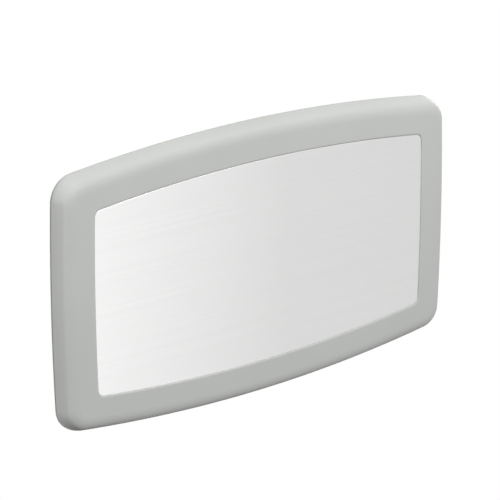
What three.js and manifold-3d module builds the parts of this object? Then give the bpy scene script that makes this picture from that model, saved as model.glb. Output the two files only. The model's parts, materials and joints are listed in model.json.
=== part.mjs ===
// Horizontal wall-hung baby changing station, folded shut. Millimetres, +Z up.
// The wall is the plane y = 0 and the front faces -Y. The origin is the middle of the face that meets the wall.
import * as THREE from "three";
import { mergeVertices } from "three/addons/utils/BufferGeometryUtils.js";
import Module from "manifold-3d";

const wasm = await Module();
wasm.setup();

// Driving sizes of the closed unit
const WIDTH = 895;
const HEIGHT = 508;
const DEPTH = 102;
const BED_DEPTH = 37;
const GAP = 0.3;

// Bowed outline of the bed: long edges swell by CROWN, short edges by SIDE_BOW
const CROWN = 31;
const SIDE_BOW = 7;
const CORNER = 47;
const EDGE_INSET = 23.5;
const EDGE_DEPTH = 32;
const BACK_EDGE_RADIUS = 3;
const SHELL_WALL = 4;
const FRONT_Y = -DEPTH;
const BED_BACK_Y = -(DEPTH - BED_DEPTH);

// Brushed steel panel, let into the front of the bed
const PANEL_SIDE_INSET = 68;
const PANEL_EDGE_INSET = 66.5;
const PANEL_CROWN = 23;
const PANEL_BOW = 3.7;
const PANEL_CORNER = 13;
const PANEL_RECESS = 2.6;
const PANEL_THICK = 1;
const PANEL_LIP = 1.6;

// Wall box behind the bed: straight along the hinge, bowed along the top
const BOX_HALF_WIDTH = 388;
const BOX_TOP = 218;
const BOX_BOTTOM = 200;
const BOX_TOP_CROWN = 27;
const BOX_CORNER = 16;
const BOX_FRONT_Y = -60;
const BOX_WALL = 4;
const BOX_LIP_WIDTH = 12;
const STRAIGHT = 0.02;
const LEAST_CORNER = 2;

// Wall slots, on the usual stud spacing
const STUD_SPACING = 406.4;
const SLOT_HEIGHT_SPACING = 240;
const SLOT_WIDTH = 8;
const SLOT_LENGTH = 24;
const PLATE_WIDTH = 64;
const PLATE_HEIGHT = 320;
const PLATE_THICK = 2;

// Changing tray: flat border, raised rim and a dished bed
const TRAY_THICK = 3;
const TRAY_Y = BED_BACK_Y - 1;
const TRAY_EDGE_INSET = 6.3;
const TRAY_LEDGE = 4;
const RIM_OUTLINE = {
  halfWidth: 342, top: 168, bottom: 176, crownTop: 16, crownBottom: 10, sideBow: 4, corner: 64,
};
const DISH_FLOOR_Y = -88;

// Hinge along the bottom of the wall box
const HINGE_Y = -58;
const HINGE_Z = -209;
const ROD_RADIUS = 4;
const BUSH_WALL = 1;
const KNUCKLE_RADIUS = 7.5;
const KNUCKLE_PITCH = 70;
const KNUCKLE_COUNT = 7;
const LEAF_THICK = 3;
const WALL_LEAF_LENGTH = 46;
const BED_LEAF_LENGTH = 27;

// Gas spring beside the tray, driven by a crank on the bed
const SPRING_X = 364;
const SPRING_TOP_Y = -24;
const SPRING_TOP_Z = 60;
const CRANK_RADIUS = 42;
const CRANK_ANGLE = THREE.MathUtils.degToRad(50);
const CRANK_THICK = 3;
const TUBE_RADIUS = 11;
const TUBE_BORE = 8.5;
const TUBE_LENGTH = 150;
const GLAND_BORE = 6.8;
const SPRING_ROD_RADIUS = 4;
const SPRING_ROD_LENGTH = 190;
const PISTON_RADIUS = 6;
const EYE_RADIUS = 8;
const EYE_WIDTH = 11;
const PIN_RADIUS = 3;

// Liner store on the back of the wall box, with a tilting door and a turn lock
const STORE_WIDTH = 286;
const STORE_HEIGHT = 126;
const STORE_WALL = 3;
const STORE_FRONT_Y = -24;
const DOOR_THICK = 3;
const DOOR_PLAY = 1;
const DOOR_PIN_RADIUS = 3;
const DOOR_PIN_Z = -57;
const SLOT_HOLE_WIDTH = 170;
const SLOT_HOLE_HEIGHT = 34;
const LOCK_RADIUS = 9;
const LOCK_Z = 44;
const CAM_REACH = 22;

// Safety strap and buckle across the dish
const STRAP_WIDTH = 38;
const STRAP_THICK = 1.8;
const STRAP_CLEAR = 1.5;
const BUCKLE_Z = -18;
const BUCKLE_LENGTH = 46;
const BUCKLE_HALF_WIDTH = 26;
const BUCKLE_WALL = 3.5;
const BUCKLE_BASE_Y = -85;
const BUCKLE_BASE = 2;
const BUCKLE_HEIGHT = 11;

// Screws
const SCREW_HEAD_RADIUS = 4.4;
const SCREW_HEAD = 2.4;
const SCREW_SHANK_RADIUS = 2;
const SCREW_SHANK = 10;
const BOSS_RADIUS = 6;

// Points on each stretch of a quarter outline
const SIDE_STEPS = 2;
const CORNER_STEPS = 5;
const EDGE_STEPS = 6;
const EDGE_ROUND_STEPS = 7;
const ROUND_SIDES = 16;

// Materials
const paint = (color, roughness, metalness = 0) =>
  new THREE.MeshStandardMaterial({ color, roughness, metalness });
const greyPlastic = paint(0xbcbebb, 0.45);
const innerPlastic = paint(0xc6c8c5, 0.55);
const brushedSteel = paint(0xd8d8d8, 0.32, 1);
const zincSteel = paint(0xa9abac, 0.4, 0.9);
const darkSteel = paint(0x2c2d2f, 0.45, 0.6);
const chromeRod = paint(0xd2d4d6, 0.12, 1);
const blackRubber = paint(0x1f2021, 0.8);
const acetal = paint(0xe9e8e2, 0.4);
const webbing = paint(0x3a3d42, 0.9);
const blackPlastic = paint(0x26282a, 0.5);

// Boolean helpers
function solidOf(geometry) {
  const plain = geometry.clone();
  plain.deleteAttribute("normal");
  plain.deleteAttribute("uv");
  const merged = mergeVertices(plain, 1e-4);
  return new wasm.Manifold(new wasm.Mesh({
    numProp: 3,
    vertProperties: new Float32Array(merged.attributes.position.array),
    triVerts: new Uint32Array(merged.index.array),
  }));
}

function geometryOf(solid) {
  const mesh = solid.getMesh();
  const geometry = new THREE.BufferGeometry();
  geometry.setAttribute("position", new THREE.BufferAttribute(new Float32Array(mesh.vertProperties), 3));
  geometry.setIndex(new THREE.BufferAttribute(new Uint32Array(mesh.triVerts), 1));
  return geometry;
}

function join(first, ...others) {
  return geometryOf(others.reduce((sum, part) => sum.add(solidOf(part)), solidOf(first)));
}

function cut(first, ...others) {
  return geometryOf(others.reduce((rest, part) => rest.subtract(solidOf(part)), solidOf(first)));
}

// Simple solids, given by their real extents
function box([x0, x1], [y0, y1], [z0, z1]) {
  return new THREE.BoxGeometry(x1 - x0, y1 - y0, z1 - z0)
    .translate((x0 + x1) / 2, (y0 + y1) / 2, (z0 + z1) / 2);
}

function rodX(radius, [x0, x1], y, z, sides = ROUND_SIDES) {
  return new THREE.CylinderGeometry(radius, radius, x1 - x0, sides)
    .rotateZ(Math.PI / 2).translate((x0 + x1) / 2, y, z);
}

function rodY(radius, x, [y0, y1], z, sides = ROUND_SIDES) {
  return new THREE.CylinderGeometry(radius, radius, y1 - y0, sides).translate(x, (y0 + y1) / 2, z);
}

// A flat shape drawn in (y, z) and extruded along x between two places
function slab(points, [x0, x1], holes = []) {
  const shape = points instanceof THREE.Shape ? points : new THREE.Shape(points);
  shape.holes.push(...holes);
  const geometry = new THREE.ExtrudeGeometry(shape, { depth: x1 - x0, bevelEnabled: false, curveSegments: 6 });
  const turned = new THREE.Matrix4().set(0, 0, 1, x0, 1, 0, 0, 0, 0, 1, 0, 0, 0, 0, 0, 1);
  return geometry.applyMatrix4(turned);
}

// A flat shape drawn in (x, z) and given thickness from y0 to y1
function plate(shape, [y0, y1]) {
  const geometry = new THREE.ExtrudeGeometry(shape, { depth: y1 - y0, bevelEnabled: false, curveSegments: 4 });
  return geometry.rotateX(Math.PI / 2).translate(0, y1, 0);
}

function roundedRectangle(x0, x1, z0, z1, radius) {
  const shape = new THREE.Shape();
  shape.absarc(x1 - radius, z1 - radius, radius, 0, Math.PI / 2);
  shape.absarc(x0 + radius, z1 - radius, radius, Math.PI / 2, Math.PI);
  shape.absarc(x0 + radius, z0 + radius, radius, Math.PI, 1.5 * Math.PI);
  shape.absarc(x1 - radius, z0 + radius, radius, 1.5 * Math.PI, 2 * Math.PI);
  return shape;
}

// Bowed rectangles and lofts through rings of them.
// The circle of an edge that swells by `sagitta` over half a chord
const edgeRadius = (halfChord, sagitta) => (halfChord ** 2 + sagitta ** 2) / (2 * sagitta);

// One quarter, from the middle of the right side to the middle of the top, with a corner arc touching both edges
function quarter(halfWidth, height, crown, sideBow, corner) {
  const topRadius = edgeRadius(halfWidth, crown);
  const sideRadius = edgeRadius(height, sideBow);
  const topCentre = new THREE.Vector2(0, height - topRadius);
  const sideCentre = new THREE.Vector2(halfWidth - sideRadius, 0);
  const reachTop = topRadius - corner;
  const reachSide = sideRadius - corner;
  const between = sideCentre.clone().sub(topCentre);
  const span = between.length();
  const along = (reachTop ** 2 - reachSide ** 2 + span ** 2) / (2 * span);
  const aside = Math.sqrt(reachTop ** 2 - along ** 2);
  const unit = between.divideScalar(span);
  const centre = topCentre.clone().addScaledVector(unit, along)
    .add(new THREE.Vector2(unit.y, -unit.x).multiplyScalar(aside));
  const sideEnd = centre.clone().sub(sideCentre).angle();
  const topEnd = centre.clone().sub(topCentre).angle();
  const arcs = [
    [sideCentre, sideRadius, 0, sideEnd, SIDE_STEPS],
    [centre, corner, sideEnd, topEnd, CORNER_STEPS],
    [topCentre, topRadius, topEnd, Math.PI / 2, EDGE_STEPS],
  ];
  return arcs.flatMap(([c, radius, from, to, steps]) =>
    new THREE.ArcCurve(c.x, c.y, radius, from, to).getPoints(steps).slice(0, -1));
}

// A whole outline, anticlockwise seen from the front
function outline({ halfWidth, top, bottom, crownTop, crownBottom, sideBow, corner }) {
  const upper = [...quarter(halfWidth, top, crownTop, sideBow, corner), new THREE.Vector2(0, top)];
  const lower = [...quarter(halfWidth, bottom, crownBottom, sideBow, corner), new THREE.Vector2(0, bottom)];
  const right = upper.map((p) => [p.x, p.y]);
  const left = upper.slice(1, -1).reverse().map((p) => [-p.x, p.y]);
  const lowLeft = lower.map((p) => [-p.x, -p.y]);
  const lowRight = lower.slice(1, -1).reverse().map((p) => [p.x, -p.y]);
  return [...right, ...left, ...lowLeft, ...lowRight];
}

const ringAt = (spec, y) => outline(spec).map(([x, z]) => new THREE.Vector3(x, y, z));

function inset(spec, distance) {
  return {
    ...spec,
    halfWidth: spec.halfWidth - distance,
    top: spec.top - distance,
    bottom: spec.bottom - distance,
    corner: Math.max(spec.corner - distance, LEAST_CORNER),
  };
}

// Skin through rings of equal length: the first ring is capped facing -Y, the last facing +Y
function loft(rings, startBulge = 0, endBulge = 0) {
  const count = rings[0].length;
  const positions = rings.flat().flatMap((p) => [p.x, p.y, p.z]);
  const first = rings[0];
  const last = rings[rings.length - 1];
  positions.push(0, first[0].y + startBulge, 0, 0, last[0].y + endBulge, 0);
  const startCentre = rings.length * count;
  const endCentre = startCentre + 1;
  const index = [];
  for (let i = 0; i < count; i++) {
    const next = (i + 1) % count;
    index.push(startCentre, i, next);
    for (let r = 0; r + 1 < rings.length; r++) {
      const a = r * count;
      const b = a + count;
      index.push(a + i, b + i, b + next, a + i, b + next, a + next);
    }
    const end = (rings.length - 1) * count;
    index.push(endCentre, end + next, end + i);
  }
  const geometry = new THREE.BufferGeometry();
  geometry.setAttribute("position", new THREE.Float32BufferAttribute(positions, 3));
  geometry.setIndex(index);
  return geometry;
}

// Named outlines
const BED_OUTLINE = {
  halfWidth: WIDTH / 2, top: HEIGHT / 2, bottom: HEIGHT / 2,
  crownTop: CROWN, crownBottom: CROWN, sideBow: SIDE_BOW, corner: CORNER,
};
const PANEL_OUTLINE = {
  halfWidth: WIDTH / 2 - PANEL_SIDE_INSET,
  top: HEIGHT / 2 - PANEL_EDGE_INSET,
  bottom: HEIGHT / 2 - PANEL_EDGE_INSET,
  crownTop: PANEL_CROWN, crownBottom: PANEL_CROWN, sideBow: PANEL_BOW, corner: PANEL_CORNER,
};
const BOX_OUTLINE = {
  halfWidth: BOX_HALF_WIDTH, top: BOX_TOP, bottom: BOX_BOTTOM,
  crownTop: BOX_TOP_CROWN, crownBottom: STRAIGHT, sideBow: STRAIGHT, corner: BOX_CORNER,
};

// Places of repeated fasteners, as [x, z]
const TRAY_SCREWS = [[-415, 120], [-415, -120], [415, 120], [415, -120], [-190, 221], [190, 221]];
const LEAF_SCREW_X = [-210, -70, 70, 210];
const BED_LEAF_SCREW_Z = HINGE_Z - 17;
const WALL_LEAF_SCREW_Y = -26;

const station = new THREE.Group();
const wallUnit = new THREE.Group();
const bed = new THREE.Group();
station.add(wallUnit, bed);

function add(group, name, geometry, material) {
  const mesh = new THREE.Mesh(geometry, material);
  mesh.name = name;
  group.add(mesh);
  return mesh;
}

// A domed screw whose head seats on the local plane y = 0 and whose shank runs along -Y
function screwGeometry(shank = SCREW_SHANK) {
  const profile = [
    [0, -shank], [SCREW_SHANK_RADIUS, -shank], [SCREW_SHANK_RADIUS, 0], [SCREW_HEAD_RADIUS, 0],
    [SCREW_HEAD_RADIUS, SCREW_HEAD * 0.45], [SCREW_HEAD_RADIUS * 0.6, SCREW_HEAD], [0, SCREW_HEAD],
  ];
  return new THREE.LatheGeometry(profile.map(([r, y]) => new THREE.Vector2(r, y)), 10);
}

// Front shell of the bed
function bedShell() {
  const lip = inset(PANEL_OUTLINE, -GAP);
  const floorY = FRONT_Y + PANEL_RECESS;
  const rings = [
    ringAt(lip, floorY),
    ringAt(lip, FRONT_Y + PANEL_LIP * 0.5),
    ringAt(inset(lip, -PANEL_LIP * 0.4), FRONT_Y + PANEL_LIP * 0.12),
    ringAt(inset(lip, -PANEL_LIP), FRONT_Y),
  ];
  for (let i = 0; i <= EDGE_ROUND_STEPS; i++) {
    const angle = (Math.PI / 2) * (1 - i / EDGE_ROUND_STEPS);
    const distance = EDGE_INSET * (1 - Math.cos(angle));
    const y = FRONT_Y + EDGE_DEPTH * (1 - Math.sin(angle));
    rings.push(ringAt(inset(BED_OUTLINE, distance), y));
  }
  const ledgeY = TRAY_Y - TRAY_THICK - GAP;
  const innerFrontY = floorY + SHELL_WALL;
  const innerInset = TRAY_EDGE_INSET + TRAY_LEDGE;
  rings.push(
    ringAt(inset(BED_OUTLINE, 0), BED_BACK_Y - BACK_EDGE_RADIUS),
    ringAt(inset(BED_OUTLINE, BACK_EDGE_RADIUS * 0.3), BED_BACK_Y - BACK_EDGE_RADIUS * 0.3),
    ringAt(inset(BED_OUTLINE, BACK_EDGE_RADIUS), BED_BACK_Y),
    ringAt(inset(BED_OUTLINE, TRAY_EDGE_INSET - GAP), BED_BACK_Y),
    ringAt(inset(BED_OUTLINE, TRAY_EDGE_INSET - GAP), ledgeY),
    ringAt(inset(BED_OUTLINE, innerInset), ledgeY),
    ringAt(inset(BED_OUTLINE, innerInset), innerFrontY + 8),
    ringAt(inset(BED_OUTLINE, EDGE_INSET), innerFrontY + 1.5),
    ringAt(inset(BED_OUTLINE, EDGE_INSET + 8), innerFrontY),
  );
  const bossBack = TRAY_Y - TRAY_THICK - GAP;
  const screws = [...TRAY_SCREWS, ...LEAF_SCREW_X.map((x) => [x, BED_LEAF_SCREW_Z])];
  const bosses = screws.map(([x, z]) => rodY(BOSS_RADIUS, x, [innerFrontY - 2, bossBack], z, 12));
  const holes = screws.map(([x, z]) =>
    rodY(SCREW_SHANK_RADIUS + GAP, x, [bossBack - SCREW_SHANK, bossBack + 1], z, 10));
  return cut(join(loft(rings), ...bosses), ...holes);
}

// Steel panel with a softly rounded edge, lying in its recess
function frontPanel() {
  const backY = FRONT_Y + PANEL_RECESS - GAP;
  const frontY = backY - PANEL_THICK;
  return loft([
    ringAt(inset(PANEL_OUTLINE, 0.5), frontY),
    ringAt(PANEL_OUTLINE, frontY + 0.35),
    ringAt(PANEL_OUTLINE, backY),
  ]);
}

// Changing tray, as [distance inside the rim outline, y] on each face of the sheet
const TRAY_BACK = [
  [-6, TRAY_Y], [0, -63], [4, -52], [8, -46.5], [14, -44], [20, -45.5], [28, -51], [44, -63],
  [70, -75], [100, -82.5], [130, -86.5],
];
const TRAY_FRONT = [
  [-6, TRAY_Y - TRAY_THICK], [2.5, -65.5], [7, -54], [10.5, -49.6], [14.4, -47.2], [18.4, -48.6],
  [25.5, -53.6], [41.5, -66], [68, -78], [99, -85.6], [130, -89.6],
];
function trayRing([distance, y]) {
  const ring = inset(RIM_OUTLINE, distance);
  const share = ring.top / RIM_OUTLINE.top;
  ring.crownTop *= share;
  ring.crownBottom *= share;
  ring.sideBow *= share;
  ring.corner = Math.min(RIM_OUTLINE.corner - 0.3 * distance, ring.top / 2);
  return ringAt(ring, y);
}

// Place and slope of the strap slots, half way down the dish wall, above and below the middle
const SLOT_STATION = 36;
const SLOT_Y = -57;
const SLOT_TURN = Math.atan2(12, 16);
const strapSlots = [
  { name: "upper", z: RIM_OUTLINE.top - SLOT_STATION, turn: -SLOT_TURN, way: 1 },
  { name: "lower", z: -(RIM_OUTLINE.bottom - SLOT_STATION), turn: SLOT_TURN, way: -1 },
];

function bedTray() {
  const edge = inset(BED_OUTLINE, TRAY_EDGE_INSET);
  const rings = [
    ...TRAY_FRONT.toReversed().map(trayRing),
    ringAt(edge, TRAY_Y - TRAY_THICK),
    ringAt(edge, TRAY_Y),
    ...TRAY_BACK.map(trayRing),
  ];
  const floorDrop = DISH_FLOOR_Y - TRAY_BACK.at(-1)[1];
  const dish = loft(rings, floorDrop, floorDrop);
  const screws = [...TRAY_SCREWS, ...LEAF_SCREW_X.map((x) => [x, BED_LEAF_SCREW_Z])];
  const holes = screws.map(([x, z]) =>
    rodY(SCREW_SHANK_RADIUS + GAP, x, [TRAY_Y - TRAY_THICK - 1, TRAY_Y + 1], z, 10));
  const slots = strapSlots.map(({ z, turn }) =>
    box([-STRAP_WIDTH / 2 - 2, STRAP_WIDTH / 2 + 2], [-9, 5], [-3, 3]).rotateX(turn).translate(0, SLOT_Y, z));
  return cut(dish, ...holes, ...slots);
}

// Wall box: a moulded tray with a return lip, the walls of the liner store and four wall slots
function wallBox() {
  const backInner = -BOX_WALL;
  const lipY = BOX_FRONT_Y + BOX_WALL;
  const shell = loft([
    ringAt(inset(BOX_OUTLINE, BOX_WALL), backInner),
    ringAt(inset(BOX_OUTLINE, BOX_WALL), lipY),
    ringAt(inset(BOX_OUTLINE, BOX_LIP_WIDTH), lipY),
    ringAt(inset(BOX_OUTLINE, BOX_LIP_WIDTH), BOX_FRONT_Y),
    ringAt(inset(BOX_OUTLINE, 2), BOX_FRONT_Y),
    ringAt(inset(BOX_OUTLINE, 0.6), BOX_FRONT_Y + 0.6),
    ringAt(BOX_OUTLINE, BOX_FRONT_Y + 2),
    ringAt(BOX_OUTLINE, -2),
    ringAt(inset(BOX_OUTLINE, 2), 0),
  ]);
  const halfW = STORE_WIDTH / 2;
  const halfH = STORE_HEIGHT / 2;
  const wallShape = roundedRectangle(
    -halfW - STORE_WALL, halfW + STORE_WALL, -halfH - STORE_WALL, halfH + STORE_WALL, 6);
  wallShape.holes.push(roundedRectangle(-halfW, halfW, -halfH, halfH, 3));
  const store = plate(wallShape, [STORE_FRONT_Y, backInner + 1]);
  const slots = wallSlots().map(([x, z]) => slotSolid(x, z, [-BOX_WALL - 2, 2]));
  const doorPin = rodX(DOOR_PIN_RADIUS + GAP, [-halfW - 9, halfW + 9], doorPinY, DOOR_PIN_Z, 14);
  const keeperY = STORE_FRONT_Y + DOOR_THICK;
  const keeper = box([-15, 8], [keeperY + 0.4, keeperY + 6], [halfH - 1, halfH + 9]);
  const crankNotch = box(
    [SPRING_X - 16, SPRING_X + 19], [BOX_FRONT_Y - 2, lipY + 1], [-BOX_BOTTOM + BOX_WALL, -BOX_BOTTOM + 54]);
  const leafHoles = LEAF_SCREW_X.map((x) =>
    new THREE.CylinderGeometry(SCREW_SHANK_RADIUS + GAP, SCREW_SHANK_RADIUS + GAP, 12, 10)
      .rotateX(Math.PI / 2).translate(x, WALL_LEAF_SCREW_Y, -BOX_BOTTOM));
  return cut(join(shell, store), ...slots, doorPin, keeper, crankNotch, ...leafHoles);
}

const doorPinY = STORE_FRONT_Y + DOOR_THICK + 0.5;

function wallSlots() {
  return [-1, 1].flatMap((sx) => [-1, 1].map((sz) => [(sx * STUD_SPACING) / 2, (sz * SLOT_HEIGHT_SPACING) / 2]));
}

function slotSolid(x, z, depth) {
  const half = SLOT_WIDTH / 2;
  return plate(roundedRectangle(x - half, x + half, z - SLOT_LENGTH / 2, z + SLOT_LENGTH / 2, half - 0.01), depth);
}

// Steel plate that spreads the load of the wall screws
function mountPlate(x) {
  const y = [-BOX_WALL - GAP - PLATE_THICK, -BOX_WALL - GAP];
  const shape = roundedRectangle(x - PLATE_WIDTH / 2, x + PLATE_WIDTH / 2, -PLATE_HEIGHT / 2, PLATE_HEIGHT / 2, 8);
  const slots = wallSlots().filter(([sx]) => sx === x).map(([sx, sz]) => slotSolid(sx, sz, [y[0] - 1, y[1] + 1]));
  return cut(plate(shape, y), ...slots);
}

// Hinge: two leaves whose knuckles take turns along one rod
const hingeStart = (-KNUCKLE_PITCH * KNUCKLE_COUNT) / 2;
const knuckleSpan = (i) => [hingeStart + i * KNUCKLE_PITCH + 0.5, hingeStart + (i + 1) * KNUCKLE_PITCH - 0.5];
const knuckles = [...Array(KNUCKLE_COUNT).keys()];
const bedKnuckles = knuckles.filter((i) => i % 2 === 0);
const wallKnuckles = knuckles.filter((i) => i % 2 === 1);

function leaf(plateGeometry, turns, bore, clearTurns) {
  const tubes = turns.map((i) => rodX(KNUCKLE_RADIUS, knuckleSpan(i), HINGE_Y, HINGE_Z));
  const room = clearTurns.map((i) => {
    const [x0, x1] = knuckleSpan(i);
    return rodX(KNUCKLE_RADIUS + 0.8, [x0 - 0.5, x1 + 0.5], HINGE_Y, HINGE_Z);
  });
  const boreRod = rodX(bore, [hingeStart - 5, -hingeStart + 5], HINGE_Y, HINGE_Z);
  return cut(join(cut(plateGeometry, ...room), ...tubes), boreRod);
}

function wallLeaf() {
  const top = -BOX_BOTTOM - GAP;
  const sheet = box([hingeStart + 5, -hingeStart - 5], [HINGE_Y, HINGE_Y + WALL_LEAF_LENGTH], [top - LEAF_THICK, top]);
  const holes = LEAF_SCREW_X.map((x) =>
    new THREE.CylinderGeometry(SCREW_SHANK_RADIUS + GAP, SCREW_SHANK_RADIUS + GAP, 12, 10)
      .rotateX(Math.PI / 2).translate(x, WALL_LEAF_SCREW_Y, top));
  return leaf(cut(sheet, ...holes), wallKnuckles, ROD_RADIUS + GAP, bedKnuckles);
}

function bedLeaf() {
  const y = [TRAY_Y + GAP, TRAY_Y + GAP + LEAF_THICK];
  const sheet = box([hingeStart + 0.5, -hingeStart - 0.5], y, [HINGE_Z - BED_LEAF_LENGTH, HINGE_Z]);
  const holes = LEAF_SCREW_X.map((x) => rodY(SCREW_SHANK_RADIUS + GAP, x, [y[0] - 1, y[1] + 1], BED_LEAF_SCREW_Z, 10));
  return leaf(cut(sheet, ...holes), bedKnuckles, ROD_RADIUS + BUSH_WALL + 2 * GAP, wallKnuckles);
}

function bush(i) {
  const tube = rodX(ROD_RADIUS + BUSH_WALL + GAP, knuckleSpan(i), HINGE_Y, HINGE_Z, 16);
  return cut(tube, rodX(ROD_RADIUS + GAP, [hingeStart - 5, -hingeStart + 5], HINGE_Y, HINGE_Z, 16));
}

function rodCap(way) {
  const inner = way * (-hingeStart + 0.5);
  const outer = way * (-hingeStart + 9);
  const cap = rodX(KNUCKLE_RADIUS - 0.5, [Math.min(inner, outer), Math.max(inner, outer)], HINGE_Y, HINGE_Z);
  const hollow = way * (-hingeStart + 6 + GAP);
  return cut(cap, rodX(
    ROD_RADIUS + GAP, [Math.min(inner - way, hollow), Math.max(inner - way, hollow)], HINGE_Y, HINGE_Z));
}

// Places of the gas spring, in (y, z)
const springTop = new THREE.Vector2(SPRING_TOP_Y, SPRING_TOP_Z);
const crankPin = new THREE.Vector2(
  HINGE_Y + CRANK_RADIUS * Math.sin(CRANK_ANGLE), HINGE_Z + CRANK_RADIUS * Math.cos(CRANK_ANGLE));
const springRun = crankPin.clone().sub(springTop);
const springTurn = Math.atan2(springRun.x, -springRun.y);

function lathedAlongZ(profile, sides = ROUND_SIDES) {
  return new THREE.LatheGeometry(profile.map(([r, z]) => new THREE.Vector2(r, z)), sides).rotateX(Math.PI / 2);
}

// Gas cylinder, hanging down from its upper eye at the local origin
function gasCylinder() {
  return lathedAlongZ([
    [0, -20], [TUBE_BORE, -20], [TUBE_BORE, -TUBE_LENGTH + 6], [GLAND_BORE, -TUBE_LENGTH + 6],
    [GLAND_BORE, -TUBE_LENGTH], [TUBE_RADIUS - 1.5, -TUBE_LENGTH], [TUBE_RADIUS, -TUBE_LENGTH + 1.5],
    [TUBE_RADIUS, -17], [TUBE_RADIUS - 3, -14], [0, -14],
  ]);
}

function springEye(neckTo) {
  const [low, high] = [Math.min(0, neckTo), Math.max(0, neckTo)];
  const neck = lathedAlongZ([[0, low], [4.5, low], [4.5, high], [0, high]], 14);
  const barrel = rodX(EYE_RADIUS, [-EYE_WIDTH / 2, EYE_WIDTH / 2], 0, 0);
  return cut(join(barrel, neck), rodX(PIN_RADIUS + GAP, [-EYE_WIDTH, EYE_WIDTH], 0, 0, 16));
}

// Piston rod, standing up from its lower eye at the local origin
function springRod() {
  const start = EYE_RADIUS + 5 + GAP;
  return lathedAlongZ([
    [0, start], [SPRING_ROD_RADIUS, start], [SPRING_ROD_RADIUS, SPRING_ROD_LENGTH - 10],
    [PISTON_RADIUS, SPRING_ROD_LENGTH - 10], [PISTON_RADIUS, SPRING_ROD_LENGTH], [0, SPRING_ROD_LENGTH],
  ], 16);
}

// Clevis that holds the cylinder's upper eye on the back of the wall box
function upperBracket() {
  const base = -BOX_WALL - GAP;
  const ear = (x0) => {
    const shape = new THREE.Shape();
    shape.moveTo(base, SPRING_TOP_Z - 16);
    shape.lineTo(base, SPRING_TOP_Z + 16);
    shape.absarc(SPRING_TOP_Y, SPRING_TOP_Z, 8, Math.PI / 3, 1.67 * Math.PI);
    shape.closePath();
    return slab(shape, [x0, x0 + 2.5]);
  };
  const foot = box([SPRING_X - 15, SPRING_X + 15], [base - 2.5, base], [SPRING_TOP_Z - 24, SPRING_TOP_Z + 24]);
  const room = EYE_WIDTH / 2 + GAP;
  const bracket = join(foot, ear(SPRING_X - room - 2.5), ear(SPRING_X + room));
  return cut(bracket, rodX(PIN_RADIUS + GAP, [SPRING_X - 20, SPRING_X + 20], SPRING_TOP_Y, SPRING_TOP_Z, 16));
}

function headedPin(x, y, z, reach) {
  const shank = rodX(PIN_RADIUS, [x - reach, x + reach], y, z, 16);
  const head = rodX(PIN_RADIUS + 1.8, [x + reach - 0.5, x + reach + 2], y, z, 16);
  return join(shank, head);
}

// Crank arm: a foot on the tray border and a blade that reaches into the wall box
const CRANK_BLADE = [SPRING_X + EYE_WIDTH / 2 + GAP, SPRING_X + EYE_WIDTH / 2 + GAP + CRANK_THICK];
const CRANK_FOOT = { z0: -196, z1: -150, x0: SPRING_X - 12, x1: SPRING_X + 16 };

function hingeCrank() {
  const footY = [TRAY_Y + GAP, TRAY_Y + GAP + 3];
  const shape = new THREE.Shape();
  shape.moveTo(footY[0], CRANK_FOOT.z1);
  shape.lineTo(footY[0], CRANK_FOOT.z0 + 1);
  shape.lineTo(BOX_FRONT_Y + 8, CRANK_FOOT.z0 + 2);
  shape.absarc(crankPin.x, crankPin.y, 9, -0.55 * Math.PI, 0.45 * Math.PI);
  shape.closePath();
  const blade = slab(shape, CRANK_BLADE);
  const foot = box([CRANK_FOOT.x0, CRANK_FOOT.x1], footY, [CRANK_FOOT.z0 + 1, CRANK_FOOT.z1]);
  return cut(join(foot, blade), rodX(
    PIN_RADIUS + GAP, [SPRING_X - 20, SPRING_X + 20], crankPin.x, crankPin.y, 16));
}

// Door of the liner store, hinged on two pins at its foot. Local origin on the pin axis.
function linerDoor() {
  const halfW = STORE_WIDTH / 2 - DOOR_PLAY;
  const top = STORE_HEIGHT / 2 - DOOR_PLAY - DOOR_PIN_Z;
  const foot = -STORE_HEIGHT / 2 + DOOR_PLAY - DOOR_PIN_Z;
  const faceY = STORE_FRONT_Y - doorPinY;
  const shape = roundedRectangle(-halfW, halfW, foot, top, 3);
  const slotMid = -4 - DOOR_PIN_Z;
  shape.holes.push(roundedRectangle(
    -SLOT_HOLE_WIDTH / 2, SLOT_HOLE_WIDTH / 2, slotMid - SLOT_HOLE_HEIGHT / 2, slotMid + SLOT_HOLE_HEIGHT / 2,
    SLOT_HOLE_HEIGHT / 2 - 0.01));
  const sheet = plate(shape, [faceY, faceY + DOOR_THICK]);
  const pins = [-1, 1].map((way) => {
    const ends = [way * (halfW - 12), way * (halfW + DOOR_PLAY + STORE_WALL)].sort((a, b) => a - b);
    return rodX(DOOR_PIN_RADIUS, ends, 0, 0, 14);
  });
  const lockHole = rodY(LOCK_RADIUS + GAP, 0, [faceY - 2, faceY + DOOR_THICK + 6], LOCK_Z - DOOR_PIN_Z);
  return cut(join(sheet, ...pins), lockHole);
}

// Turn lock: a barrel with a coin slot and a cam behind the door. Local origin on the barrel's axis at the door face.
function linerLock() {
  const barrel = rodY(LOCK_RADIUS, 0, [0.2, DOOR_THICK + 1.2], 0);
  const face = rodY(LOCK_RADIUS + 3, 0, [-2.2, -GAP], 0);
  const neck = rodY(LOCK_RADIUS, 0, [-1, 1], 0);
  const cam = box([-CAM_REACH, 5], [DOOR_THICK + 1, DOOR_THICK + 3], [-5, 5]);
  const coinSlot = box([-7, 7], [-3, -1.2], [-1.1, 1.1]);
  return cut(join(barrel, neck, face, cam), coinSlot);
}

// Rubber stops: blocks that the open bed rests on, and buttons that the closed bed rests on
const STOP_X = 318;
const STOP_Y = [-52, -38];
const BUMPER_X = 300;
const BUMPER_Z = 200;

function openStop(x) {
  const openBedZ = HINGE_Z + (TRAY_Y - HINGE_Y);
  const shape = roundedRectangle(x - 22, x + 22, openBedZ + 0.4, -BOX_BOTTOM - GAP, 4);
  return plate(shape, STOP_Y);
}

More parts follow.
